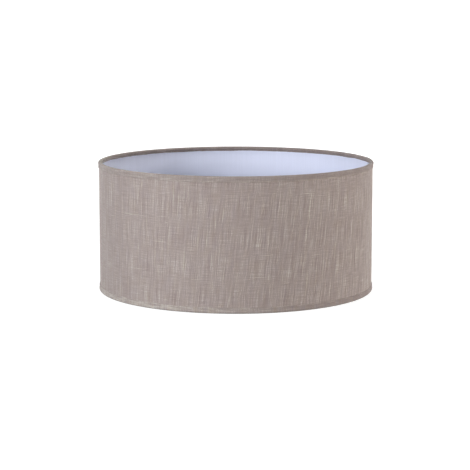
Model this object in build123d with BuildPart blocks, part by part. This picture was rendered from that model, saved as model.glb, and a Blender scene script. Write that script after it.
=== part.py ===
"""Straight drum lamp shade with a lampholder ring at the bottom, in millimetres.

A panel of fabric on a plastic liner is rolled into a drum and lapped at one side. It is stuck to two wire
rings, and a folded fabric tape covers each edge. Three wires, welded to the bottom ring, carry the ring for
the lampholder.

Origin: centre of the plane that the shade stands on. +Z is up, -Y is the front, and the panel's lap is just
behind +X.
"""

import os
from math import cos, hypot, pi, radians, sin

from build123d import *

# Overall size, measured over the edge tape
outside_diameter = 400.0
overall_height = 188.0

# Sheet thicknesses
trim_thickness = 0.8  # edge tape, folded double
fabric_thickness = 0.5
liner_thickness = 0.4
seam_tape_thickness = 0.15

# Edge tape
trim_outside_cover = 8.5
trim_inside_cover = 6.5
trim_corner_radius = 0.4  # inside radius, where the tape turns over the panel's edge
trim_edge_softening = 0.3
trim_leaves_ring_at = 125.0  # degrees round the wire, where the tape runs off towards the liner

# Lap of the panel, as lengths along the drum
lap_length = 12.0
lap_ramp_length = 24.0
lap_trim_margin = 3.0  # how far the thickened stretch of edge tape runs past the lap
seam_tape_width = 9.0
lap_middle_angle = 12.0

# Wire frame
ring_wire_diameter = 3.2
ring_adhesive_thickness = 0.15
ring_adhesive_height = 2.4
arm_wire_diameter = 3.0
arm_angles = {"front": 270.0, "back_right": 30.0, "back_left": 150.0}
weld_radius = 2.0
weld_length = 2.5
notch_clearance = 0.4  # between the edge tape and what it is notched round

# Lampholder ring, pressed from sheet with a turned-down skirt
lampholder_hole_diameter = 42.0
fitter_outside_diameter = 56.0
fitter_sheet = 1.5
fitter_skirt_height = 6.5
fitter_top_height = 30.0
fitter_bend_radius = 1.0  # inside radius of the skirt's bend
arm_joint_drop = 3.6  # from the top of the fitter to an arm's centre line

# Sizes that follow from those above
outside_radius = outside_diameter / 2
fabric_outside = outside_radius - trim_thickness
liner_outside = fabric_outside - fabric_thickness
liner_inside = liner_outside - liner_thickness
panel_height = overall_height - 2 * trim_thickness
lap_rise = fabric_thickness + liner_thickness + seam_tape_thickness
ring_wire_radius = ring_wire_diameter / 2
ring_radius = liner_inside - ring_adhesive_thickness - ring_wire_radius
ring_height = trim_thickness + ring_wire_radius
fitter_radius = fitter_outside_diameter / 2
arm_run = ring_radius - (fitter_radius - fitter_sheet / 2)
arm_rise = fitter_top_height - arm_joint_drop - ring_height
arm_length = hypot(arm_run, arm_rise)

degrees_per_mm = 180 / (pi * liner_outside)
lap_start = lap_middle_angle - lap_length / 2 * degrees_per_mm
lap_end = lap_middle_angle + lap_length / 2 * degrees_per_mm
ramp_start = lap_start - lap_ramp_length * degrees_per_mm
bulge_end = lap_end + lap_trim_margin * degrees_per_mm
full_turn = 360.0

mid_height = Plane.XY.offset(overall_height / 2)


def polar(radius, angle):
    """A point on a circle about the origin, with its angle in degrees."""
    return Vector(radius * cos(radians(angle)), radius * sin(radians(angle)))


def ramp(radius_from, angle_from, radius_to, angle_to):
    """A smooth change of radius that leaves and joins its two circles along them."""
    along = (polar(1, angle_from + 90), polar(1, angle_to + 90))
    Spline(polar(radius_from, angle_from), polar(radius_to, angle_to), tangents=along)


def lapped_sheet(inside, outside):
    """Outline of a sheet rolled into a drum, whose last stretch rises over its own start."""
    for radius in (inside, outside):
        CenterArc((0, 0), radius, lap_start, full_turn - lap_ramp_length * degrees_per_mm)
        ramp(radius, ramp_start, radius + lap_rise, lap_start)
        CenterArc((0, 0), radius + lap_rise, lap_start, lap_end - lap_start)
    Line(polar(inside, lap_start), polar(outside, lap_start))
    Line(polar(inside + lap_rise, lap_end), polar(outside + lap_rise, lap_end))


def trim_face(gap):
    """One face of the bottom edge tape in section, the given gap off the panel and the wire.

    It runs down the outside, under the panel and the wire, round the wire and out to the liner.
    """
    wrap = ring_wire_radius + gap
    leaves = Vector(ring_radius, ring_height) + polar(wrap, trim_leaves_ring_at)
    heading = polar(1, trim_leaves_ring_at - 90)
    inner_leg = liner_inside - gap
    lands = leaves + heading * ((inner_leg - leaves.X) / heading.X)
    turn = Vector(fabric_outside - trim_corner_radius, trim_thickness + trim_corner_radius)
    Line((fabric_outside + gap, trim_outside_cover), (fabric_outside + gap, turn.Y))
    CenterArc(turn, trim_corner_radius + gap, -90, 90)
    Line((turn.X, trim_thickness - gap), (ring_radius, trim_thickness - gap))
    CenterArc((ring_radius, ring_height), wrap, trim_leaves_ring_at, 270 - trim_leaves_ring_at)
    Line(leaves, lands)
    Line(lands, (inner_leg, trim_inside_cover))


def lap_bulge():
    """Plan outline of the edge tape's outside where it goes over the panel's lap."""
    lifted = outside_radius + lap_rise
    ramp(outside_radius, ramp_start, lifted, lap_start)
    CenterArc((0, 0), lifted, lap_start, bulge_end - lap_start)
    Line(polar(lifted, bulge_end), polar(fabric_outside, bulge_end))
    CenterArc((0, 0), fabric_outside, ramp_start, bulge_end - ramp_start)
    Line(polar(fabric_outside, ramp_start), polar(outside_radius, ramp_start))


# Panel: liner and fabric, each a lapped sheet of the same height
panel_base = Plane.XY.offset(trim_thickness)

with BuildPart() as shade_liner:
    with BuildSketch(panel_base):
        with BuildLine():
            lapped_sheet(liner_inside, liner_outside)
        make_face()
    extrude(amount=panel_height)

with BuildPart() as fabric_cover:
    with BuildSketch(panel_base):
        with BuildLine():
            lapped_sheet(liner_outside, fabric_outside)
        make_face()
    extrude(amount=panel_height)

# Double-sided tape inside the lap
with BuildPart() as seam_tape:
    half_width = seam_tape_width / 2 * degrees_per_mm
    with BuildSketch(panel_base):
        with BuildLine():
            for tape_face in (fabric_outside, fabric_outside + seam_tape_thickness):
                CenterArc((0, 0), tape_face, lap_middle_angle - half_width, 2 * half_width)
            for edge in (lap_middle_angle - half_width, lap_middle_angle + half_width):
                Line(polar(fabric_outside, edge), polar(fabric_outside + seam_tape_thickness, edge))
        make_face()
    extrude(amount=panel_height)

# Wire rings
with BuildPart() as bottom_ring:
    with BuildSketch(Plane.XZ):
        with Locations((ring_radius, ring_height)):
            Circle(ring_wire_radius)
    revolve(axis=Axis.Z)

with BuildPart() as top_ring:
    add(mirror(bottom_ring.part, about=mid_height, mode=Mode.PRIVATE))

# Adhesive bead that fills the cusp between each ring and the liner
with BuildPart() as bottom_ring_adhesive:
    with BuildSketch(Plane.XZ):
        with Locations((liner_inside, ring_height)):
            Rectangle(ring_wire_radius, ring_adhesive_height, align=(Align.MAX, Align.CENTER))
        with Locations((ring_radius, ring_height)):
            Circle(ring_wire_radius, mode=Mode.SUBTRACT)
    revolve(axis=Axis.Z)

with BuildPart() as top_ring_adhesive:
    add(mirror(bottom_ring_adhesive.part, about=mid_height, mode=Mode.PRIVATE))

# Lampholder ring
with BuildPart() as fitter_ring:
    with BuildSketch(Plane.XZ):
        with BuildLine():
            skirt_inside = fitter_radius - fitter_sheet
            web_bottom = fitter_top_height - fitter_sheet
            skirt_bottom = fitter_top_height - fitter_skirt_height
            hole_radius = lampholder_hole_diameter / 2
            FilletPolyline(
                (hole_radius, fitter_top_height),
                (fitter_radius, fitter_top_height),
                (fitter_radius, skirt_bottom),
                radius=fitter_bend_radius + fitter_sheet,
            )
            Line((fitter_radius, skirt_bottom), (skirt_inside, skirt_bottom))
            FilletPolyline(
                (skirt_inside, skirt_bottom),
                (skirt_inside, web_bottom),
                (hole_radius, web_bottom),
                radius=fitter_bend_radius,
            )
            Line((hole_radius, web_bottom), (hole_radius, fitter_top_height))
        make_face()
    revolve(axis=Axis.Z)

# Spider: one straight wire from the bottom ring to the fitter's skirt at each angle, cut to fit both
def arm_plane(angle):
    """The plane across an arm at the bottom ring, facing along the arm."""
    outer_end = polar(ring_radius, angle) + Vector(0, 0, ring_height)
    inwards = polar(-arm_run, angle) + Vector(0, 0, arm_rise)
    return Plane(origin=outer_end, x_dir=polar(1, angle + 90), z_dir=inwards)


spider_arms = {}
for place, angle in arm_angles.items():
    with BuildPart() as spider_arm:
        with BuildSketch(arm_plane(angle)):
            Circle(arm_wire_diameter / 2)
        extrude(amount=arm_length)
        add(bottom_ring.part, mode=Mode.SUBTRACT)
        add(fitter_ring.part, mode=Mode.SUBTRACT)
    spider_arms[place] = spider_arm.part

# Weld bead round both ends of each arm
bead_places = (ring_wire_radius / 2, arm_length - weld_length)
with BuildPart() as spider_welds:
    for angle in arm_angles.values():
        for along_arm in bead_places:
            with BuildSketch(arm_plane(angle).offset(along_arm)):
                Circle(weld_radius)
            extrude(amount=weld_length)
    for wire in (bottom_ring.part, fitter_ring.part, *spider_arms.values()):
        add(wire, mode=Mode.SUBTRACT)

# Edge tape, thickened over the lap; the bottom one is notched round each arm and its weld
with BuildPart() as plain_trim:
    with BuildSketch(Plane.XZ):
        with BuildLine():
            trim_face(0)
            trim_face(trim_thickness)
            Line((fabric_outside, trim_outside_cover), (outside_radius, trim_outside_cover))
            Line((liner_inside, trim_inside_cover), (liner_inside - trim_thickness, trim_inside_cover))
        make_face()
        fillet(vertices().sort_by(Axis.X)[-2:].sort_by(Axis.Y)[-1:], trim_edge_softening)
    revolve(axis=Axis.Z)
    with BuildSketch(Plane.XY):
        with BuildLine():
            lap_bulge()
        make_face()
    extrude(amount=trim_outside_cover)
    for layer in (shade_liner.part, fabric_cover.part, seam_tape.part):
        add(layer, mode=Mode.SUBTRACT)

with BuildPart() as top_edge_trim:
    add(mirror(plain_trim.part, about=mid_height, mode=Mode.PRIVATE))

with BuildPart() as bottom_edge_trim:
    add(plain_trim.part)
    notch_depth = ring_wire_radius + 2 * trim_thickness  # from the middle of the wire, clear of the tape
    notch_width = 2 * (weld_radius + notch_clearance)
    for angle in arm_angles.values():
        with BuildSketch(Plane.XY.rotated((0, 0, angle))):
            with Locations((ring_radius, 0)):
                Rectangle(notch_depth, notch_width, align=(Align.MAX, Align.CENTER))
        extrude(amount=trim_inside_cover, mode=Mode.SUBTRACT)

pieces = {
    "shade_liner": shade_liner.part,
    "fabric_cover": fabric_cover.part,
    "seam_tape": seam_tape.part,
    "top_ring": top_ring.part,
    "bottom_ring": bottom_ring.part,
    "top_ring_adhesive": top_ring_adhesive.part,
    "bottom_ring_adhesive": bottom_ring_adhesive.part,
    "top_edge_trim": top_edge_trim.part,
    "bottom_edge_trim": bottom_edge_trim.part,
    "fitter_ring": fitter_ring.part,
    "spider_welds": spider_welds.part,
    **{f"spider_arm_{place}": arm for place, arm in spider_arms.items()},
}
os.makedirs("parts", exist_ok=True)
for name, piece in pieces.items():
    piece.label = name
    export_step(piece, f"parts/{name}.step")
    print(name, "solids", len(piece.solids()), "volume", round(piece.volume))
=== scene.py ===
"""Studio picture of the drum lamp shade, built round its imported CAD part.

The woven cover, the edge tapes and the liner are made here. The wire frame and glue are the CAD's own.
Lengths are metres in the part's own frame: +Z up and the front towards -Y.
Angles run counter-clockwise from +X.
"""

import math

import bpy
import numpy as np
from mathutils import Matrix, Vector


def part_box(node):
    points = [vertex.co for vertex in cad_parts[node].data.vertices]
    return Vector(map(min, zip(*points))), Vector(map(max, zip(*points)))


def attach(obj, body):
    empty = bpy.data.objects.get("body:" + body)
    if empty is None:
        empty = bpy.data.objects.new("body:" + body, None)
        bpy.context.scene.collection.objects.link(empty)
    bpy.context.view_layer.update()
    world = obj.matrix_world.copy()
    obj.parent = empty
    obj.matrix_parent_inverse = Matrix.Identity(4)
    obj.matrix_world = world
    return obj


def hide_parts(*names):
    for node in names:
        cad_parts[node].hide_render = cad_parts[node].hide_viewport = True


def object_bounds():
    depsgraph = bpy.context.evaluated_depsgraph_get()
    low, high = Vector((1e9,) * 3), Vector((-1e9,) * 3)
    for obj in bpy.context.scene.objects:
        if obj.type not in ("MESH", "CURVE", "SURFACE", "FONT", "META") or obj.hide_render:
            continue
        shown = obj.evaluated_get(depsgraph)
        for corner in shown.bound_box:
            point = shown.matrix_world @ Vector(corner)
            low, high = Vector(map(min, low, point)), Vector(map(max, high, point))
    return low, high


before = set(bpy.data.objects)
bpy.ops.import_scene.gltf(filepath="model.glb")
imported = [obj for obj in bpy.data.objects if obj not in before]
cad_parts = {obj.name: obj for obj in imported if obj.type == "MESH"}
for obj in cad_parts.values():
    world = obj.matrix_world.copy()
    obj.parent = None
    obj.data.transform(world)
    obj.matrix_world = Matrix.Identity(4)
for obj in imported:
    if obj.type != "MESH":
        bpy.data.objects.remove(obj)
cad_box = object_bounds()

MM = 0.001
HEIGHT = cad_box[1].z


# ---------------------------------------------------------------- sizes read from the frame
def half_width(node):
    low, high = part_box(node)
    return (high.x - low.x) / 2


def middle(node):
    low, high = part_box(node)
    return (Vector(low) + Vector(high)) / 2


FABRIC_OUT = half_width("fabric_cover")
LINER_OUT = half_width("shade_liner")
LINER_THICK = 0.4 * MM
LINER_IN = LINER_OUT - LINER_THICK
FABRIC_THICK = FABRIC_OUT - LINER_OUT
TAPE_THICK = half_width("top_edge_trim") - FABRIC_OUT
PANEL_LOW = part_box("fabric_cover")[0].z
PANEL_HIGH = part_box("fabric_cover")[1].z

WIRE_RADIUS = (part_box("bottom_ring")[1].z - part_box("bottom_ring")[0].z) / 2
RING_RADIUS = half_width("bottom_ring") - WIRE_RADIUS
RING_HEIGHT = middle("bottom_ring").z
TAPE_OUTSIDE_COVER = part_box("bottom_edge_trim")[1].z
TAPE_INSIDE_COVER = 6.5 * MM

# The panel's lap: the sheet starts at LAP_START, goes once round, rises and runs on over its own start.
LAP_LENGTH = 12 * MM
LAP_RAMP = 24 * MM
LAP_TAPE_THICK = 0.15 * MM
LAP_RISE = FABRIC_THICK + LINER_THICK + LAP_TAPE_THICK
TURN = 2 * math.pi * LINER_OUT
LAP_START = math.atan2(middle("seam_tape").y, middle("seam_tape").x) - LAP_LENGTH / 2 / LINER_OUT
FRONT = 1.5 * math.pi

ARMS = [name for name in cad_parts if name.startswith("spider_arm")]


def on_cloth(degrees_right):
    """Place along the sheet of an angle given in degrees to the right of the front."""
    return ((FRONT + math.radians(degrees_right) - LAP_START) % (2 * math.pi)) * LINER_OUT


# ---------------------------------------------------------------- mesh helpers
def smooth_step(x):
    x = np.clip(x, 0, 1)
    return x * x * (3 - 2 * x)


def add_piece(name, points, faces, flat, material, slot):
    """A mesh object that rides on the root body. flat gives each point's place on the uncut cloth."""
    mesh = bpy.data.meshes.new(name)
    mesh.from_pydata(np.asarray(points).tolist(), [], [tuple(map(int, f)) for f in faces])
    corner_points = np.zeros(len(mesh.loops), np.int32)
    mesh.loops.foreach_get("vertex_index", corner_points)
    layer = mesh.uv_layers.new(name="cloth")
    layer.data.foreach_set("uv", np.asarray(flat, np.float32)[corner_points].ravel())
    mesh.polygons.foreach_set("use_smooth", np.ones(len(mesh.polygons), bool))
    mesh.update()
    piece = bpy.data.objects.new(name, mesh)
    bpy.context.scene.collection.objects.link(piece)
    mesh.materials.append(material)
    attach(piece, "root")
    return piece


def grid_faces(columns, rows, first=0, flip=False):
    """Quads of a grid of points numbered row by row within each column."""
    c, r = np.meshgrid(np.arange(columns - 1), np.arange(rows - 1), indexing="ij")
    a = first + c.ravel() * rows + r.ravel()
    quads = np.stack([a, a + rows, a + rows + 1, a + 1], axis=1)
    return quads[:, ::-1] if flip else quads


def around(radius, angle, height):
    """Points at the given places round the drum's axis."""
    radius, angle, height = np.broadcast_arrays(radius, angle, height)
    return np.stack([radius * np.cos(angle), radius * np.sin(angle), height], axis=-1)


def lap_rise(along):
    """How far the sheet stands out where it climbs over its own start."""
    return LAP_RISE * smooth_step((along - (TURN - LAP_RAMP)) / LAP_RAMP)


def soft_noise(rng, points, spacing):
    """Smooth random values at the given places along a line, about 0 with a spread of 1."""
    count = int(math.ceil((points.max() - points.min()) / spacing)) + 4
    knots = rng.standard_normal(count)
    at = (points - points.min()) / spacing + 1
    i = at.astype(int)
    t = smooth_step(at - i)
    return knots[i] * (1 - t) + knots[i + 1] * t


def soft_noise_2d(rng, s, z, cell_s, cell_z):
    """Smooth random values over the cloth, in cells of the given size, about 0 with a spread of 1."""
    across, up = s / cell_s, z / cell_z
    low_i, low_j = math.floor(across.min()), math.floor(up.min())
    size = (math.ceil(across.max()) - low_i + 3, math.ceil(up.max()) - low_j + 3)
    knots = rng.standard_normal(size)
    i, j = np.floor(across).astype(int) - low_i, np.floor(up).astype(int) - low_j
    t, w = smooth_step(across - np.floor(across)), smooth_step(up - np.floor(up))
    low = knots[i, j] * (1 - t) + knots[i + 1, j] * t
    high = knots[i, j + 1] * (1 - t) + knots[i + 1, j + 1] * t
    return low * (1 - w) + high * w


# ---------------------------------------------------------------- panel: woven cover and liner
# The upright yarns' slope is LEAN_MEAN give or take LEAN_SWING, and is greatest at LEAN_MOST.
LEAN_MEAN = 0.06
LEAN_SWING = 0.05
LEAN_MOST = on_cloth(20)

# Height of the cover's ridges, how far they wander, and each noise's cell along the cloth and up it.
RIDGE_HEIGHT = 0.038 * MM
RIDGE_WANDER = 0.9 * MM
WANDER_CELL = (14 * MM, 18 * MM)
FINE_RIDGE_CELL = (1.4 * MM, 14 * MM)
BROAD_RIDGE_CELL = (3.4 * MM, 20 * MM)
BROAD_RIDGE_SHARE = 0.35
# The ridges grow to their full height within this length past the lap.
RIDGES_GROW = 3 * MM


def lean_at(along):
    """Slope at which the upright yarns lean towards +angle as they rise: nearly none in places."""
    return LEAN_MEAN + LEAN_SWING * np.cos(2 * (along / LINER_OUT - LEAN_MOST / LINER_OUT))


def cover_relief(s, z):
    """Uneven yarns: ridges that run up the leaning cloth and fade in and out, flat under the lap."""
    rng = np.random.default_rng(11)
    straight = s - lean_at(s) * z + RIDGE_WANDER * soft_noise_2d(rng, s, z, *WANDER_CELL)
    fine = soft_noise_2d(rng, straight, z, *FINE_RIDGE_CELL)
    broad = soft_noise_2d(rng, straight, z, *BROAD_RIDGE_CELL)
    uncovered = smooth_step((s - LAP_LENGTH) / RIDGES_GROW)
    return RIDGE_HEIGHT * (fine + BROAD_RIDGE_SHARE * broad) * uncovered


def rolled_sheet(name, inside, outside, columns, rows, relief=None, **looks):
    """A closed sheet rolled into the lapped drum, with relief on its outside only."""
    along = np.linspace(0, TURN + LAP_LENGTH, columns)
    heights = np.linspace(PANEL_LOW, PANEL_HIGH, rows)
    angle = LAP_START + along / LINER_OUT
    s, z = np.meshgrid(along, heights, indexing="ij")
    bump = relief(s, z) if relief else np.zeros_like(s)
    outer = around(outside + lap_rise(s) + bump, angle[:, None], z).reshape(-1, 3)
    s_in, z_in = np.meshgrid(along, heights[[0, -1]], indexing="ij")
    inner = around(inside + lap_rise(s_in), angle[:, None], z_in).reshape(-1, 3)
    first = len(outer)
    column = np.arange(columns - 1)
    low_out, low_in = column * rows, first + column * 2
    high_out, high_in = low_out + rows - 1, low_in + 1
    low_edge = np.stack([low_out, low_in, low_in + 2, low_out + rows], axis=1)
    high_edge = np.stack([high_out, high_out + rows, high_in + 2, high_in], axis=1)
    last = first + 2 * columns - 1
    start_edge = [*range(rows), first + 1, first]
    end_edge = [*range((columns - 1) * rows, columns * rows), last, last - 1]
    faces = [
        *grid_faces(columns, rows),
        *grid_faces(columns, 2, first, flip=True),
        *low_edge,
        *high_edge,
        start_edge,
        end_edge[::-1],
    ]
    outer_flat = np.stack([s, z], -1).reshape(-1, 2)
    inner_flat = np.stack([s_in, z_in], -1).reshape(-1, 2)
    points, flat = np.concatenate([outer, inner]), np.concatenate([outer_flat, inner_flat])
    return add_piece(name, points, faces, flat, **looks)


# ---------------------------------------------------------------- slub yarns
# The slubs that stand out at the front: how many degrees to the right of the front the foot is, and the
# heights of the foot and the top and the width in mm.
FRONT_SLUBS = [
    (-42.6, 140, 173, 1.0), (-40.5, 165, 180, 0.9), (-36.0, 155, 171, 0.9), (-42.8, 60, 96, 0.9),
    (-38.0, 108, 130, 0.9), (-34.2, 55, 88, 1.2), (-28.4, 58, 76, 0.9), (-25.4, 145, 177, 1.3),
    (-23.6, 118, 165, 0.9), (-22.0, 168, 183, 0.9), (-20.9, 147, 179, 1.3), (-21.2, 45, 92, 1.3),
    (-15.4, 82, 125, 1.0), (-11.8, 81, 133, 1.0), (-10.0, 58, 88, 1.0), (-8.4, 110, 131, 1.2),
    (-5.2, 125, 146, 1.0), (-5.2, 34, 82, 1.2), (-2.6, 12, 29, 1.0), (3.0, 140, 156, 0.9),
    (9.2, 48, 63, 0.9), (22.6, 108, 131, 0.9), (23.5, 45, 56, 1.0), (25.5, 95, 121, 1.0),
    (26.2, 60, 81, 1.0), (29.6, 116, 168, 1.3), (32.8, 21, 63, 0.9), (35.5, 113, 134, 1.1),
    (36.6, 41, 85, 1.3), (42.9, 60, 108, 1.4), (45.0, 160, 180, 1.1), (50.0, 133, 155, 1.2),
    (52.6, 71, 95, 1.2), (56.4, 124, 136, 1.5), (59.0, 46, 95, 1.4),
]
# The same for slubs that run along the drum: degrees from and to, height and width in mm. The tilt is the
# spread of how far a slub's right end is above or below that height, in mm.
FRONT_CROSS_SLUBS = [(-54, -39, 128, 1.5), (-36, -28, 95, 0.9), (-48, -39, 53, 0.9), (6, 12, 50, 0.8)]
FRONT_CROSS_TILT = 0.5

# The others are spread at random. A pair of widths, lengths or heights is the least and greatest, in mm.
UPRIGHT_SLUBS = 600
UPRIGHT_WIDTHS = (0.35, 0.8)
# An upright slub may start below the cloth, where it is cut off. One that ends up shorter is left out.
UPRIGHT_LOWEST = -20 * MM
UPRIGHT_SHORTEST = 6 * MM
# Shape and scale of the gamma distribution of an upright slub's length.
UPRIGHT_LENGTH = (4, 6 * MM)
CROSS_SLUBS = 70
CROSS_WIDTHS = (0.4, 0.75)
CROSS_LENGTHS = (5, 24)
CROSS_HEIGHTS = (8, 180)
CROSS_TILT = 0.2
# How far slubs stay from the lap and from the cloth's end, and cross slubs' starts from a full turn.
SLUB_MARGIN = 4 * MM
CROSS_END_MARGIN = 40 * MM

# A slub's section is a flattened polygon with its middle just above the cloth. It tapers to both ends.
SLUB_SIDES = 6
SLUB_PROUD = 0.02 * MM
SLUB_FLATNESS = 0.24
SLUB_STEP = 2.2 * MM
SLUB_FEWEST_STEPS = 8
SLUB_TAPER = 0.7
SLUB_THINNEST = 0.02 * MM
SLUB_WANDER = 0.35 * MM
SLUB_WANDER_SPACING = 11 * MM
# Mean, spread and limits of how full a slub is, as shares of its width.
SLUB_FULL, SLUB_UNEVEN = 0.9, 0.18
SLUB_FULL_LIMITS = (0.5, 1.3)
SLUB_UNEVEN_SPACING = 6 * MM


def slub(rng, start, end, width):
    """A tapered yarn that lies on the cloth from start to end, given as places on the flat cloth."""
    start, end = np.array(start), np.array(end)
    length = np.linalg.norm(end - start)
    steps = max(SLUB_FEWEST_STEPS, int(length / SLUB_STEP))
    t = np.linspace(0, 1, steps)
    way = (end - start) / length
    side = np.array([-way[1], way[0]])
    wander = soft_noise(rng, t * length, SLUB_WANDER_SPACING) * SLUB_WANDER
    line = start + np.outer(t, end - start) + np.outer(wander, side)
    fullness = SLUB_FULL + SLUB_UNEVEN * soft_noise(rng, t * length, SLUB_UNEVEN_SPACING)
    swell = np.sin(math.pi * t) ** SLUB_TAPER * fullness.clip(*SLUB_FULL_LIMITS)
    half = (width / 2 * swell).clip(SLUB_THINNEST, None)
    points, flat = [], []
    for k in range(SLUB_SIDES):
        turn = 2 * math.pi * k / SLUB_SIDES
        place = line + np.outer(half * math.cos(turn), side)
        place[:, 1] = place[:, 1].clip(PANEL_LOW, PANEL_HIGH)
        lift = SLUB_PROUD + half * SLUB_FLATNESS * math.sin(turn)
        radius = FABRIC_OUT + lap_rise(place[:, 0]) + lift
        points.append(around(radius, LAP_START + place[:, 0] / LINER_OUT, place[:, 1]))
        flat.append(place)
    ring_points = np.stack(points, axis=1).reshape(-1, 3)
    ring_flat = np.stack(flat, axis=1).reshape(-1, 2)
    faces = []
    for i in range(steps - 1):
        for k in range(SLUB_SIDES):
            a, b = i * SLUB_SIDES + k, i * SLUB_SIDES + (k + 1) % SLUB_SIDES
            faces.append((a, b, b + SLUB_SIDES, a + SLUB_SIDES))
    faces.append(range(SLUB_SIDES)[::-1])
    faces.append(range((steps - 1) * SLUB_SIDES, steps * SLUB_SIDES))
    return ring_points, ring_flat, faces


def front_slub_places(rng):
    """Start, end and width of each slub that stands out at the front."""
    for degrees, low, high, width in FRONT_SLUBS:
        foot, rise = on_cloth(degrees), (high - low) * MM
        yield (foot, low * MM), (foot + lean_at(foot) * rise, high * MM), width * MM
    for left, right, height, width in FRONT_CROSS_SLUBS:
        far_height = height + rng.normal(0, FRONT_CROSS_TILT)
        yield (on_cloth(left), height * MM), (on_cloth(right), far_height * MM), width * MM


def random_slub_places(rng):
    """Start, end and width of each of the others, all round the drum."""
    earliest, last = LAP_LENGTH + SLUB_MARGIN, TURN + LAP_LENGTH - SLUB_MARGIN
    for _ in range(UPRIGHT_SLUBS):
        foot = rng.uniform(earliest, last)
        low = rng.uniform(UPRIGHT_LOWEST, PANEL_HIGH)
        rise = rng.gamma(*UPRIGHT_LENGTH)
        low, high = max(low, PANEL_LOW), min(low + rise, PANEL_HIGH)
        width = rng.uniform(*UPRIGHT_WIDTHS) * MM
        if high - low > UPRIGHT_SHORTEST:
            yield (foot, low), (min(foot + lean_at(foot) * (high - low), last), high), width
    for _ in range(CROSS_SLUBS):
        left = rng.uniform(earliest, TURN - CROSS_END_MARGIN)
        run = rng.uniform(*CROSS_LENGTHS) * MM
        height = rng.uniform(*CROSS_HEIGHTS) * MM
        width = rng.uniform(*CROSS_WIDTHS) * MM
        yield (left, height), (left + run, height + rng.normal(0, CROSS_TILT) * MM), width


def slub_yarns(**looks):
    """All the slubs as one mesh. Places and shapes draw from one generator, turn by turn."""
    rng = np.random.default_rng(23)
    points, flat, faces, count = [], [], [], 0
    for places in (front_slub_places(rng), random_slub_places(rng)):
        for start, end, width in places:
            yarn_points, yarn_flat, yarn_faces = slub(rng, start, end, width)
            points.append(yarn_points)
            flat.append(yarn_flat)
            faces += [[count + i for i in f] for f in yarn_faces]
            count += len(yarn_points)
    return add_piece("cover_slub_yarns", np.concatenate(points), faces, np.concatenate(flat), **looks)


# ---------------------------------------------------------------- edge tapes
# Radius of the turn under the edge, the angle round the wire at which the tape leaves it on the inside,
# and how far the tape's end runs on over its start.
TAPE_CORNER = 1.8 * MM
TAPE_LEAVES_RING = math.radians(125)
TAPE_JOIN = 10 * MM
# Sections round the drum, points on each part of a section, and angles of the points on its round edges.
TAPE_STATIONS = 1000
LEG_POINTS, CORNER_POINTS, WRAP_POINTS = 15, 9, 12
END_CAP_TURNS = np.radians([50, 90, 130])
# Height and reach of the bead beside the wire and of the folded hem, and the hem's distance from the edge.
TAPE_BEAD, BEAD_REACH = 0.5 * MM, 2.0 * MM
TAPE_HEM, HEM_REACH = 0.2 * MM, 0.8 * MM
HEM_FROM_EDGE = 1.0 * MM
# Length over which the tape comes down off the panel's lap, and over which its end climbs over its start.
OFF_LAP_RAMP = 4 * MM
OVER_START_RAMP = 5 * MM
# Each wave is its size and its spacing.
OUTSIDE_EDGE_WAVES = [(0.16 * MM, 30 * MM), (0.07 * MM, 6 * MM)]
INSIDE_EDGE_WAVES = [(0.25 * MM, 24 * MM), (0.08 * MM, 5 * MM)]
PUCKERS = [(0.10 * MM, 4 * MM)]
LUMP_SIZE, LUMP_CELL = 0.05 * MM, (5 * MM, 4 * MM)
# Shares of the tape's width, from its outside edge: where the outside waves and the lap's rise have died
# out and where the inside waves begin, each with the share over which they do.
OUTSIDE_WAVES_END, OUTSIDE_WAVES_FADE = 0.35, 0.3
INSIDE_WAVES_BEGIN, INSIDE_WAVES_GROW = 0.7, 0.3
RISE_END, RISE_FADE = 0.5, 0.2


def arc_points(centre, radius, start, end, count):
    """Points of an arc in the plane of the section."""
    turn = np.linspace(start, end, count)
    return [(centre[0] + radius * math.cos(a), centre[1] + radius * math.sin(a)) for a in turn]


def stands_out(height):
    """How far the tape's outside leg stands out at a height, at the bead and at the hem."""
    from_ring = (height - RING_HEIGHT) / BEAD_REACH
    from_hem = (height - TAPE_OUTSIDE_COVER + HEM_FROM_EDGE) / HEM_REACH
    return TAPE_BEAD * math.exp(-(from_ring ** 2)) + TAPE_HEM * math.exp(-(from_hem ** 2))


def tape_middle_line():
    """Middle of the bottom tape's thickness, as (radius, height), from its outside edge to its inside."""
    half = TAPE_THICK / 2
    outer, base, inner = FABRIC_OUT + half, half, LINER_IN - half
    wire, wrap = (RING_RADIUS, RING_HEIGHT), WIRE_RADIUS + half
    corner_height = base + TAPE_CORNER
    corner = (outer + stands_out(corner_height) - TAPE_CORNER, corner_height)
    leg_heights = np.linspace(TAPE_OUTSIDE_COVER - half, corner_height, LEG_POINTS + 1)[:-1]
    line = [(outer + stands_out(h), h) for h in leg_heights]
    line += arc_points(corner, TAPE_CORNER, 0, -math.pi / 2, CORNER_POINTS)
    line += arc_points(wire, wrap, 1.5 * math.pi, TAPE_LEAVES_RING, WRAP_POINTS)
    leaves = line[-1]
    heading = TAPE_LEAVES_RING - math.pi / 2
    lands = (inner, leaves[1] + (inner - leaves[0]) * math.tan(heading))
    line += [lands, (inner, TAPE_INSIDE_COVER - half)]
    return np.array(line)


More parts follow.
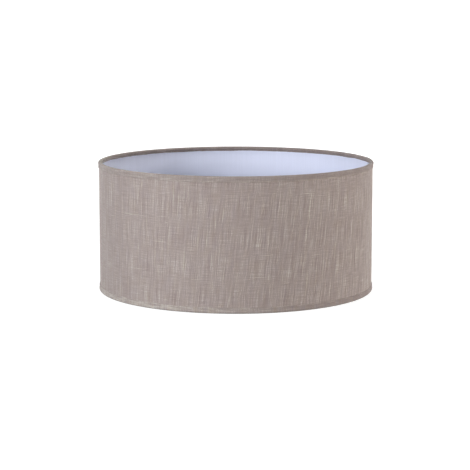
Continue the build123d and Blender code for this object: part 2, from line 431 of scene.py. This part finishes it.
def tape_section():
    """Closed outline of the tape, outer face first, its points' places across the width and the width."""
    line = tape_middle_line()
    step = np.gradient(line, axis=0)
    step /= np.linalg.norm(step, axis=1)[:, None]
    out = np.stack([step[:, 1], -step[:, 0]], axis=1) * TAPE_THICK / 2
    width = np.concatenate([[0], np.cumsum(np.linalg.norm(np.diff(line, axis=0), axis=1))])
    half = TAPE_THICK / 2
    end_cap = [line[-1] + out[-1] * math.cos(a) + step[-1] * half * math.sin(a) for a in END_CAP_TURNS]
    start_cap = [line[0] - out[0] * math.cos(a) - step[0] * half * math.sin(a) for a in END_CAP_TURNS]
    outline = np.concatenate([line + out, end_cap, (line - out)[::-1], start_cap])
    at_end, at_start = [width[-1]] * len(end_cap), [0] * len(start_cap)
    across = np.concatenate([width, at_end, width[::-1], at_start])
    return outline, across, width[-1]


tape_outline, tape_across, tape_width = tape_section()


def tape_rise(along):
    """How far the tape stands out over the panel's lap, and where its own end lies on its start."""
    start_side = LAP_RISE * (1 - smooth_step((along - LAP_LENGTH) / OFF_LAP_RAMP))
    panel_lap = np.where(along < TURN, np.maximum(start_side, lap_rise(along)), LAP_RISE)
    return panel_lap + TAPE_THICK * smooth_step((along - TURN + OVER_START_RAMP) / OVER_START_RAMP)


def waves(rng, along, sizes):
    """Sum of soft noises along the tape, as a column."""
    return sum(size * soft_noise(rng, along, spacing) for size, spacing in sizes)[:, None]


def edge_tape(name, seed, top, **looks):
    """A folded tape glued round one rim: wavy edges, small puckers inside and its end over its start."""
    rng = np.random.default_rng(seed)
    along = np.linspace(0, TURN + TAPE_JOIN, TAPE_STATIONS)
    angle = LAP_START + along / LINER_OUT
    wave_out = waves(rng, along, OUTSIDE_EDGE_WAVES)
    wave_in = waves(rng, along, INSIDE_EDGE_WAVES)
    pucker = waves(rng, along, PUCKERS)
    s, across = np.meshgrid(along, tape_across, indexing="ij")
    lumps = LUMP_SIZE * soft_noise_2d(rng, s, across, *LUMP_CELL)
    share = tape_across / tape_width
    outside_part = smooth_step((OUTSIDE_WAVES_END - share) / OUTSIDE_WAVES_FADE)
    inside_part = smooth_step((share - INSIDE_WAVES_BEGIN) / INSIDE_WAVES_GROW)
    rise = tape_rise(along)[:, None] * smooth_step((RISE_END - share) / RISE_FADE)
    radius = tape_outline[:, 0] + rise + lumps + pucker * inside_part
    height = tape_outline[:, 1] + wave_out * outside_part + wave_in * inside_part
    if top:
        height = HEIGHT - height
    points = around(radius, angle[:, None], height).reshape(-1, 3)
    flat = np.stack([s, across + TAPE_EDGE_MARK], -1).reshape(-1, 2)
    count = len(tape_outline)
    a = np.arange((TAPE_STATIONS - 1) * count)
    b = a + 1 - count * ((a % count) == count - 1)
    quads = np.stack([a, b, b + count, a + count], axis=1)
    start, end = range(count), range((TAPE_STATIONS - 1) * count, TAPE_STATIONS * count)
    faces = [*quads, start[::-1], end] if top else [*quads[:, ::-1], start, end[::-1]]
    return add_piece(name, points, faces, flat, **looks)


# ---------------------------------------------------------------- node helpers
class Tree:
    """Builds a material's nodes. An input given as a socket is linked and any other is set."""

    def __init__(self, name):
        self.material = bpy.data.materials.new(name)
        self.material.use_nodes = True
        self.tree = self.material.node_tree
        self.shader = self.tree.nodes["Principled BSDF"]

    def node(self, kind, settings=None, **inputs):
        """Adds a node. An input goes by its name, or by i and its number."""
        made = self.tree.nodes.new("ShaderNode" + kind)
        for key, value in (settings or {}).items():
            setattr(made, key, value)
        for key, value in inputs.items():
            numbered = key[0] == "i" and key[1:].isdigit()
            self.put(made.inputs[int(key[1:]) if numbered else key], value)
        return made

    def put(self, socket, value):
        if isinstance(value, bpy.types.NodeSocket):
            self.tree.links.new(value, socket)
        else:
            socket.default_value = value

    def cloth_place(self):
        return self.node("UVMap", {"uv_map": "cloth"}).outputs["UV"]

    def object_place(self):
        return self.node("TexCoord").outputs["Object"]

    def math(self, operation, a, b=0.0, c=0.0):
        return self.node("Math", {"operation": operation}, i0=a, i1=b, i2=c).outputs[0]

    def plus(self, total, *others):
        for other in others:
            total = self.math("ADD", total, other)
        return total

    def minus(self, a, b):
        return self.math("SUBTRACT", a, b)

    def times(self, a, b):
        return self.math("MULTIPLY", a, b)

    def times_plus(self, a, b, c):
        return self.math("MULTIPLY_ADD", a, b, c)

    def noise(self, vector, scale, detail=2.0, roughness=0.5):
        """Noise from 0 to 1."""
        made = self.node("TexNoise", Vector=vector, Scale=scale, Detail=detail, Roughness=roughness)
        return made.outputs["Fac"]

    def cells(self, vector, per_metre, detail=2.0, roughness=0.5):
        """Noise from 0 to 1 with this many cells per metre in x and in y."""
        stretched = self.node("Mapping", Vector=vector, Scale=(*per_metre, 1.0)).outputs["Vector"]
        return self.noise(stretched, 1.0, detail, roughness)

    def varied(self, vector, per_metre, reach, detail=1.0):
        """The same noise, from -reach to reach."""
        return self.spread(self.cells(vector, per_metre, detail), -reach, reach)

    def spread(self, value, low, high):
        """A value from 0 to 1 spread between low and high."""
        return self.node("MapRange", Value=value, i3=low, i4=high).outputs[0]

    def ramp(self, value, zero_at, one_at):
        """From 0 to 1 as the value goes from zero_at to one_at."""
        return self.node("MapRange", Value=value, i1=zero_at, i2=one_at).outputs[0]

    def pick(self, which, when_0, when_1):
        return self.node("Mix", {"data_type": "FLOAT"}, i0=which, i2=when_0, i3=when_1).outputs[0]

    def blend(self, which, when_0, when_1):
        """A colour between two."""
        made = self.node("Mix", {"data_type": "RGBA"}, i0=which, i6=(*when_0, 1), i7=(*when_1, 1))
        return made.outputs[2]

    def scaled(self, vector, factor):
        return self.node("VectorMath", {"operation": "SCALE"}, i0=vector, Scale=factor).outputs[0]

    def added(self, a, b):
        return self.node("VectorMath", {"operation": "ADD"}, i0=a, i1=b).outputs[0]

    def bump(self, height, strength, distance):
        return self.node("Bump", Strength=strength, Distance=distance, Height=height).outputs[0]

    def shade(self, **sockets):
        """Sets the shader's own sockets and returns the finished material."""
        for key, value in sockets.items():
            self.put(self.shader.inputs[key.replace("_", " ")], value)
        return self.material


def shaded(colour, share):
    return tuple(share * c for c in colour)


def shaded_by(colour, tint):
    return tuple(c * k for c, k in zip(colour, tint))


# ---------------------------------------------------------------- linen
YARN_PITCH = 0.72 * MM
CROSSING_POWER = 0.35
# Noise cells per metre along the cloth and up it.
UPRIGHT_CELLS = (1250, 24)
BROAD_CELLS = (330, 9)
LEVEL_CELLS = (45, 1000)
GOLD_CELLS = (160, 40)
CLOUD_CELLS, CLOUD_REACH = (30, 22), 0.05
SWAY_CELLS, SWAY = (70, 55), 4 * MM
SAG_CELLS, SAG = (40, 70), 3 * MM
SPOT_SCALE, FOLD_HIGHLIGHT_PATCH_SCALE = 640.0, 35.0
BROAD_SHARE = 1 / 3
# Tone of painted shade at the bottom of a yarn, in the weave's hollows, and of painted light at its top,
# and the tones at which a yarn starts and ends turning pale.
WEAVE_SHADE_TONES = (-0.12, 0.05)
PALE_TONES = (0.06, 0.30)
# A paler yarn is a little greyer than a darker one, and some stretches of cloth are more golden.
TONE_TINT = (0.89, 1.07, 1.04)
GOLD = (0.4, 0.1, -1.0)
# The upright yarns vary more in tone and relief to the right of the front; the tone part is painted shade
# of light raking across them from the right. The tapes carry painted light, strongest at their front left.
FRONT_ALONG = on_cloth(0)
RIGHT_TONE_AND_RAKE_SHADE = 0.6
# Middle of the painted light on the tapes, toward the lamps on the left.
PAINTED_LIGHT_AT = on_cloth(-55)
# Where a tape's outside edge lies on its own cloth: far from the cover's places, so that they differ.
TAPE_EDGE_MARK = 0.3
# Where the painted highlight along the folded edge begins and where it is full, and how much of it is
# gold.
TAPE_FOLD_HIGHLIGHT_MARKS = (TAPE_EDGE_MARK + 1.5 * MM, TAPE_EDGE_MARK + 0.2 * MM)
FOLD_HIGHLIGHT_GOLD_SHARE = 1 / 3
# The tape turns over the wire at its crown, where a painted highlight begins and is full at these
# distances from there.
TAPE_CROWN_MARK = TAPE_EDGE_MARK + TAPE_OUTSIDE_COVER + 1.6 * MM
TAPE_CROWN_HIGHLIGHT_REACH = (2.4 * MM, 1.2 * MM)
# Share of the weave and of the upright yarns' tone in the height that the bump follows.
WEAVE_HEIGHT, WARP_HEIGHT = 0.6, 1.3


def angle_from(t, along, mark):
    """Angle round the drum from a mark on the cloth."""
    return t.math("DIVIDE", t.minus(along, mark), LINER_OUT)


def wandering(t, flat, cells, reach):
    """How far yarns are off their place, up to half of reach either way."""
    return t.times(t.minus(t.cells(flat, cells), 0.5), reach)


def yarn_place(t, flat, along, up):
    """Place across the upright yarns, which lean as lean_at says, and up the level ones. All wander."""
    swing = t.times(t.math("COSINE", t.times(angle_from(t, along, LEAN_MOST), 2.0)), LEAN_SWING)
    lean = t.times(up, t.plus(swing, LEAN_MEAN))
    across = t.plus(t.minus(along, lean), wandering(t, flat, SWAY_CELLS, SWAY))
    level = t.plus(up, wandering(t, flat, SAG_CELLS, SAG))
    return across, level


def plain_weave(t, across, level):
    """Height of the yarns, from 0 to 1. An upright yarn is on top where both waves have the same sign."""
    warp_wave = t.math("SINE", t.times(across, math.pi / YARN_PITCH))
    weft_wave = t.math("SINE", t.times(level, math.pi / YARN_PITCH))
    warp_round, weft_round = t.math("ABSOLUTE", warp_wave), t.math("ABSOLUTE", weft_wave)
    warp_on_top = t.math("GREATER_THAN", t.times(warp_wave, weft_wave), 0.0)
    warp_height = t.times(warp_round, t.math("POWER", weft_round, CROSSING_POWER))
    weft_height = t.times(weft_round, t.math("POWER", warp_round, CROSSING_POWER))
    return t.pick(warp_on_top, weft_height, warp_height)


def painted_tape_highlights(t, flat, up, toward_painted_light):
    """Painted tape highlights: at the folded edge, in patches and least on the lit side, and at the crown.
    """
    edge = t.times(t.ramp(up, *TAPE_FOLD_HIGHLIGHT_MARKS), t.spread(t.noise(flat, FOLD_HIGHLIGHT_PATCH_SCALE), 0.0, 2.0))
    edge = t.times(edge, t.math("MINIMUM", t.minus(1.0, toward_painted_light), 1.0))
    crown = t.ramp(t.math("ABSOLUTE", t.minus(up, TAPE_CROWN_MARK)), *TAPE_CROWN_HIGHLIGHT_REACH)
    return edge, crown


def linen(name, colour, light, upright=0.36, level_yarns=0.20, grain=0.11, gold=0.05,
          fold_highlight=0.0, crown_highlight=0.0, painted_side_light=0.0):
    """Slubbed plain weave. colour is the yarns' tone, light the tone of the pale ones.

    upright, level_yarns and grain say how much the tone varies between upright yarns, between level yarns
    and between spots. gold is how much the hue varies. fold_highlight and crown_highlight are painted
    highlights: how much paler a tape is at its folded edge and at its crown, where it turns over the wire.
    painted_side_light is painted light from the lamps on the left: how much paler a tape is at
    PAINTED_LIGHT_AT than a quarter turn away from it.
    """
    t = Tree(name)
    flat = t.cloth_place()
    split = t.node("SeparateXYZ", Vector=flat)
    along, up = split.outputs["X"], split.outputs["Y"]
    across, level = yarn_place(t, flat, along, up)
    yarns = t.node("CombineXYZ", X=across, Y=level).outputs[0]
    weave = plain_weave(t, across, level)

    # Painted raking shade from the right: the upright yarns' tone, and their relief, vary more there.
    right_side = t.math("MAXIMUM", t.math("SINE", angle_from(t, along, FRONT_ALONG)), 0.0)
    tone_and_rake_shade = t.times_plus(right_side, RIGHT_TONE_AND_RAKE_SHADE, 1.0)
    warp_tone = t.times(t.varied(yarns, UPRIGHT_CELLS, upright), tone_and_rake_shade)
    weft_tone = t.varied(yarns, LEVEL_CELLS, level_yarns)
    spots = t.spread(t.noise(flat, SPOT_SCALE, detail=1.0), -grain, grain)
    cloud = t.varied(flat, CLOUD_CELLS, CLOUD_REACH, detail=2.0)
    broad = t.varied(yarns, BROAD_CELLS, upright * BROAD_SHARE)
    # The weave's height paints shade into its hollows and light onto the yarns' tops.
    tone = t.plus(warp_tone, weft_tone, spots, cloud, broad, t.spread(weave, *WEAVE_SHADE_TONES))

    toward_painted_light = t.math("COSINE", angle_from(t, along, PAINTED_LIGHT_AT))
    edge, crown = painted_tape_highlights(t, flat, up, toward_painted_light)
    # Painted highlights along the tape's folded edge and over its crown, partly gold.
    tone = t.times_plus(edge, fold_highlight, tone)
    tone = t.times_plus(crown, crown_highlight, tone)
    # Painted light: the tapes grow paler toward the lamps on the left front.
    tone = t.times_plus(toward_painted_light, painted_side_light, tone)
    golden = t.times_plus(edge, fold_highlight * FOLD_HIGHLIGHT_GOLD_SHARE, t.varied(yarns, GOLD_CELLS, gold))

    shown = t.blend(t.ramp(tone, *PALE_TONES), colour, light)
    shown = t.added(shown, t.scaled(shaded_by(colour, TONE_TINT), tone))
    shown = t.added(shown, t.scaled(shaded_by(colour, GOLD), golden))
    height = t.plus(t.times(weave, WEAVE_HEIGHT), t.times(warp_tone, WARP_HEIGHT), weft_tone)
    normal = t.bump(height, strength=0.6, distance=0.25 * MM)
    return t.shade(Base_Color=shown, Roughness=0.95, Normal=normal, Sheen_Weight=0.1, Sheen_Roughness=0.5,
                   Specular_IOR_Level=0.15)


# ---------------------------------------------------------------- the other materials
# Tones are at a noise's least and greatest, and cells are per metre along the sheet and up it.
LINER_TONE = (0.775, 0.81, 0.98)
BACKLIT_STREAK_CELLS, BACKLIT_STREAK_TONES = (700, 14), (0.92, 1.04)
LINER_CLOUD_CELLS, LINER_CLOUD_REACH = (25, 20), 0.02
COAT_TONES, COAT_ROUGHNESS = [(0.70, 0.70, 0.68), (0.80, 0.80, 0.79)], (0.28, 0.40)
PEEL_SCALE, DIRT_SCALE = 900.0, 60.0
GLUE_TONES, GLUE_SCALE = [(0.55, 0.50, 0.40), (0.72, 0.68, 0.58)], 400.0
FLOOR_TONES, FLOOR_SCALE = [(0.33, 0.33, 0.33), (0.35, 0.35, 0.35)], 40.0
# The floor's glow near the shade and far from it, and the distances between which it grows.
FLOOR_GLOW, GLOW_GROWS = (0.8, 1.3), (0.6, 4.0)


def liner_plastic():
    """Satin white sheet with painted light that the cloth's yarns let through from outside, in long faint
    lines.
    """
    t = Tree("liner_plastic")
    flat = t.cloth_place()
    # Painted light shining through the cloth's yarns, in lines paler and darker than the sheet's own
    # white.
    backlit_streaks = t.cells(flat, BACKLIT_STREAK_CELLS, detail=3.0, roughness=0.6)
    cloud = t.varied(flat, LINER_CLOUD_CELLS, LINER_CLOUD_REACH, detail=2.0)
    colour = t.scaled(LINER_TONE, t.plus(t.spread(backlit_streaks, *BACKLIT_STREAK_TONES), cloud))
    normal = t.bump(backlit_streaks, strength=0.15, distance=0.1 * MM)
    return t.shade(Base_Color=colour, Roughness=0.42, Normal=normal, Specular_IOR_Level=0.35)


def coated_steel():
    """White epoxy powder coat with a faint orange peel."""
    t = Tree("white_coat")
    place = t.object_place()
    peel = t.noise(place, PEEL_SCALE)
    colour = t.blend(t.noise(place, DIRT_SCALE, detail=3.0), *COAT_TONES)
    normal = t.bump(peel, strength=0.12, distance=0.1 * MM)
    return t.shade(Base_Color=colour, Roughness=t.spread(peel, *COAT_ROUGHNESS), Normal=normal)


def dried_glue():
    """Yellowed glue with a lumpy surface."""
    t = Tree("dried_glue")
    lumps = t.noise(t.object_place(), GLUE_SCALE, detail=3.0)
    normal = t.bump(lumps, strength=0.4, distance=0.3 * MM)
    return t.shade(Base_Color=t.blend(lumps, *GLUE_TONES), Roughness=0.35, Normal=normal)


def pale_floor():
    """Matt floor that glows, more so farther from the shade, until it meets the white of the world."""
    t = Tree("pale_floor")
    place = t.object_place()
    colour = t.blend(t.noise(place, FLOOR_SCALE, detail=3.0), *FLOOR_TONES)
    away = t.node("VectorMath", {"operation": "LENGTH"}, i0=place).outputs["Value"]
    glow = t.spread(t.ramp(away, *GLOW_GROWS), *FLOOR_GLOW)
    return t.shade(Base_Color=colour, Roughness=0.9, Emission_Color=(1, 1, 1, 1), Emission_Strength=glow)


TAUPE = (0.294, 0.246, 0.228)
PALE_YARN = (0.445, 0.400, 0.350)
SLUB_TONE = (0.424, 0.377, 0.327)
TAPE_TONE, TAPE_PALE = shaded(TAUPE, 0.86), shaded(PALE_YARN, 0.92)
cover_cloth = linen("cover_linen", TAUPE, PALE_YARN)
slub_cloth = linen("slub_linen", SLUB_TONE, shaded(SLUB_TONE, 1.15), upright=0.2, level_yarns=0.3,
                   grain=0.2)
top_cloth = linen("top_tape_linen", TAPE_TONE, TAPE_PALE, upright=0.15, level_yarns=0.25,
                  grain=0.12, fold_highlight=0.16, crown_highlight=0.20, painted_side_light=0.08)
bottom_cloth = linen("bottom_tape_linen", TAPE_TONE, TAPE_PALE, upright=0.15, level_yarns=0.28,
                     grain=0.12, gold=0.12, fold_highlight=0.03, painted_side_light=0.16)
liner_material = liner_plastic()
white_coat = coated_steel()
glue = dried_glue()


# ---------------------------------------------------------------- pieces
# Columns round the drum and rows up it. The cover's are close enough to carry its ridges.
COVER_GRID = (1750, 52)
LINER_GRID = (721, 2)

cover = rolled_sheet("woven_cover", LINER_OUT, FABRIC_OUT, *COVER_GRID, cover_relief,
                     material=cover_cloth, slot="linen_fabric")
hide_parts("fabric_cover")
slubs = slub_yarns(material=slub_cloth, slot="linen_fabric")
liner = rolled_sheet("liner_sheet", LINER_IN, LINER_OUT, *LINER_GRID,
                     material=liner_material, slot="white_liner")
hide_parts("shade_liner")
top_tape = edge_tape("top_tape", 31, True, material=top_cloth, slot="edge_fabric")
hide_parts("top_edge_trim")
bottom_tape = edge_tape("bottom_tape", 37, False, material=bottom_cloth, slot="edge_fabric")
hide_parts("bottom_edge_trim")


def paint(nodes, material):
    """Gives CAD nodes one of the materials made here."""
    for node in nodes:
        for material_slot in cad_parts[node].material_slots:
            material_slot.material = material


paint(["top_ring", "bottom_ring", "fitter_ring", "spider_welds", *ARMS], white_coat)
paint(["seam_tape", "top_ring_adhesive", "bottom_ring_adhesive"], glue)


# ---------------------------------------------------------------- floor, light and camera
FLOOR_REACH = 40.0
LAMP_DISTANCE = 2.2
LAMP_AIM = Vector((0, 0, HEIGHT / 2))
COOL, NEUTRAL, WARM = (0.935, 0.963, 1.0), (1.0, 0.993, 0.987), (1.0, 0.955, 0.915)
# Name, degrees to the right of the front, elevation, width and height in metres, watts and colour.
SOFTBOXES = [
    ("left_low", -70, 5, 0.6, 0.4, 19.4, COOL),
    ("left_side", -70, 17, 0.8, 0.8, 7.0, COOL),
    ("left_key", -50, 17, 0.8, 0.8, 26.5, COOL),
    ("front_low", 15, 5, 0.6, 0.4, 28.6, NEUTRAL),
    ("right_low", 75, 1, 0.6, 0.2, 15.6, WARM),
    ("right_edge", 100, 1, 0.6, 0.2, 4.0, WARM),
    ("right_side", 90, 12, 0.6, 0.4, 5.5, WARM),
    ("right_back", 110, 15, 0.6, 0.4, 12.5, WARM),
    ("overhead", 0, 90, 1.6, 1.6, 16.0, NEUTRAL),
    ("back_right", 150, 5, 0.6, 0.4, 18.0, NEUTRAL),
    ("back_left", -145, 5, 0.6, 0.4, 24.0, NEUTRAL),
]
CAMERA_LENS = 129.9
CAMERA_SENSOR = 36.0
CAMERA_SEES = 200.0
CAMERA_ELEVATION = math.radians(8.82)
CAMERA_DISTANCE = 2.490
CAMERA_AIM = Vector((-1.2 * MM, 0, 77.7 * MM))


def add_floor():
    """Floor that lights nothing by bounce."""
    r = FLOOR_REACH
    mesh = bpy.data.meshes.new("floor")
    mesh.from_pydata([(-r, -r, 0), (r, -r, 0), (r, r, 0), (-r, r, 0)], [], [(0, 1, 2, 3)])
    mesh.materials.append(pale_floor())
    floor = bpy.data.objects.new("floor", mesh)
    bpy.context.scene.collection.objects.link(floor)
    floor.visible_diffuse = False


def look_at(thing, aim, away, distance):
    """Puts a lamp or the camera at a distance from its aim, looking back at it."""
    thing.location = aim + away * distance
    thing.rotation_mode = "QUATERNION"
    thing.rotation_quaternion = away.to_track_quat("Z", "Y")
    bpy.context.scene.collection.objects.link(thing)


def add_softbox(name, azimuth, elevation, width, height, power, colour):
    """A lamp aimed at the shade."""
    lamp = bpy.data.lights.new(name, "AREA")
    lamp.shape = "RECTANGLE"
    lamp.size, lamp.size_y = width, height
    lamp.energy, lamp.color = power, colour
    a, e = math.radians(azimuth), math.radians(elevation)
    away = Vector((math.sin(a) * math.cos(e), -math.cos(a) * math.cos(e), math.sin(e)))
    look_at(bpy.data.objects.new(name, lamp), LAMP_AIM, away, LAMP_DISTANCE)


def add_camera():
    """Long lens from the front, a little above the rim."""
    data = bpy.data.cameras.new("camera")
    data.sensor_width, data.lens = CAMERA_SENSOR, CAMERA_LENS
    data.clip_end = CAMERA_SEES
    camera = bpy.data.objects.new("camera", data)
    back = Vector((0, -math.cos(CAMERA_ELEVATION), math.sin(CAMERA_ELEVATION)))
    look_at(camera, CAMERA_AIM, back, CAMERA_DISTANCE)
    bpy.context.scene.camera = camera


def add_world():
    """White all round, which the camera and glossy surfaces see and matt ones don't."""
    world = bpy.data.worlds.new("studio")
    bpy.context.scene.world = world
    world.use_nodes = True
    background = world.node_tree.nodes["Background"]
    background.inputs["Color"].default_value = (1, 1, 1, 1)
    background.inputs["Strength"].default_value = 1.0
    world.cycles_visibility.diffuse = False


add_floor()
add_world()
for softbox in SOFTBOXES:
    add_softbox(*softbox)
add_camera()
bpy.context.scene.view_settings.view_transform = "Standard"
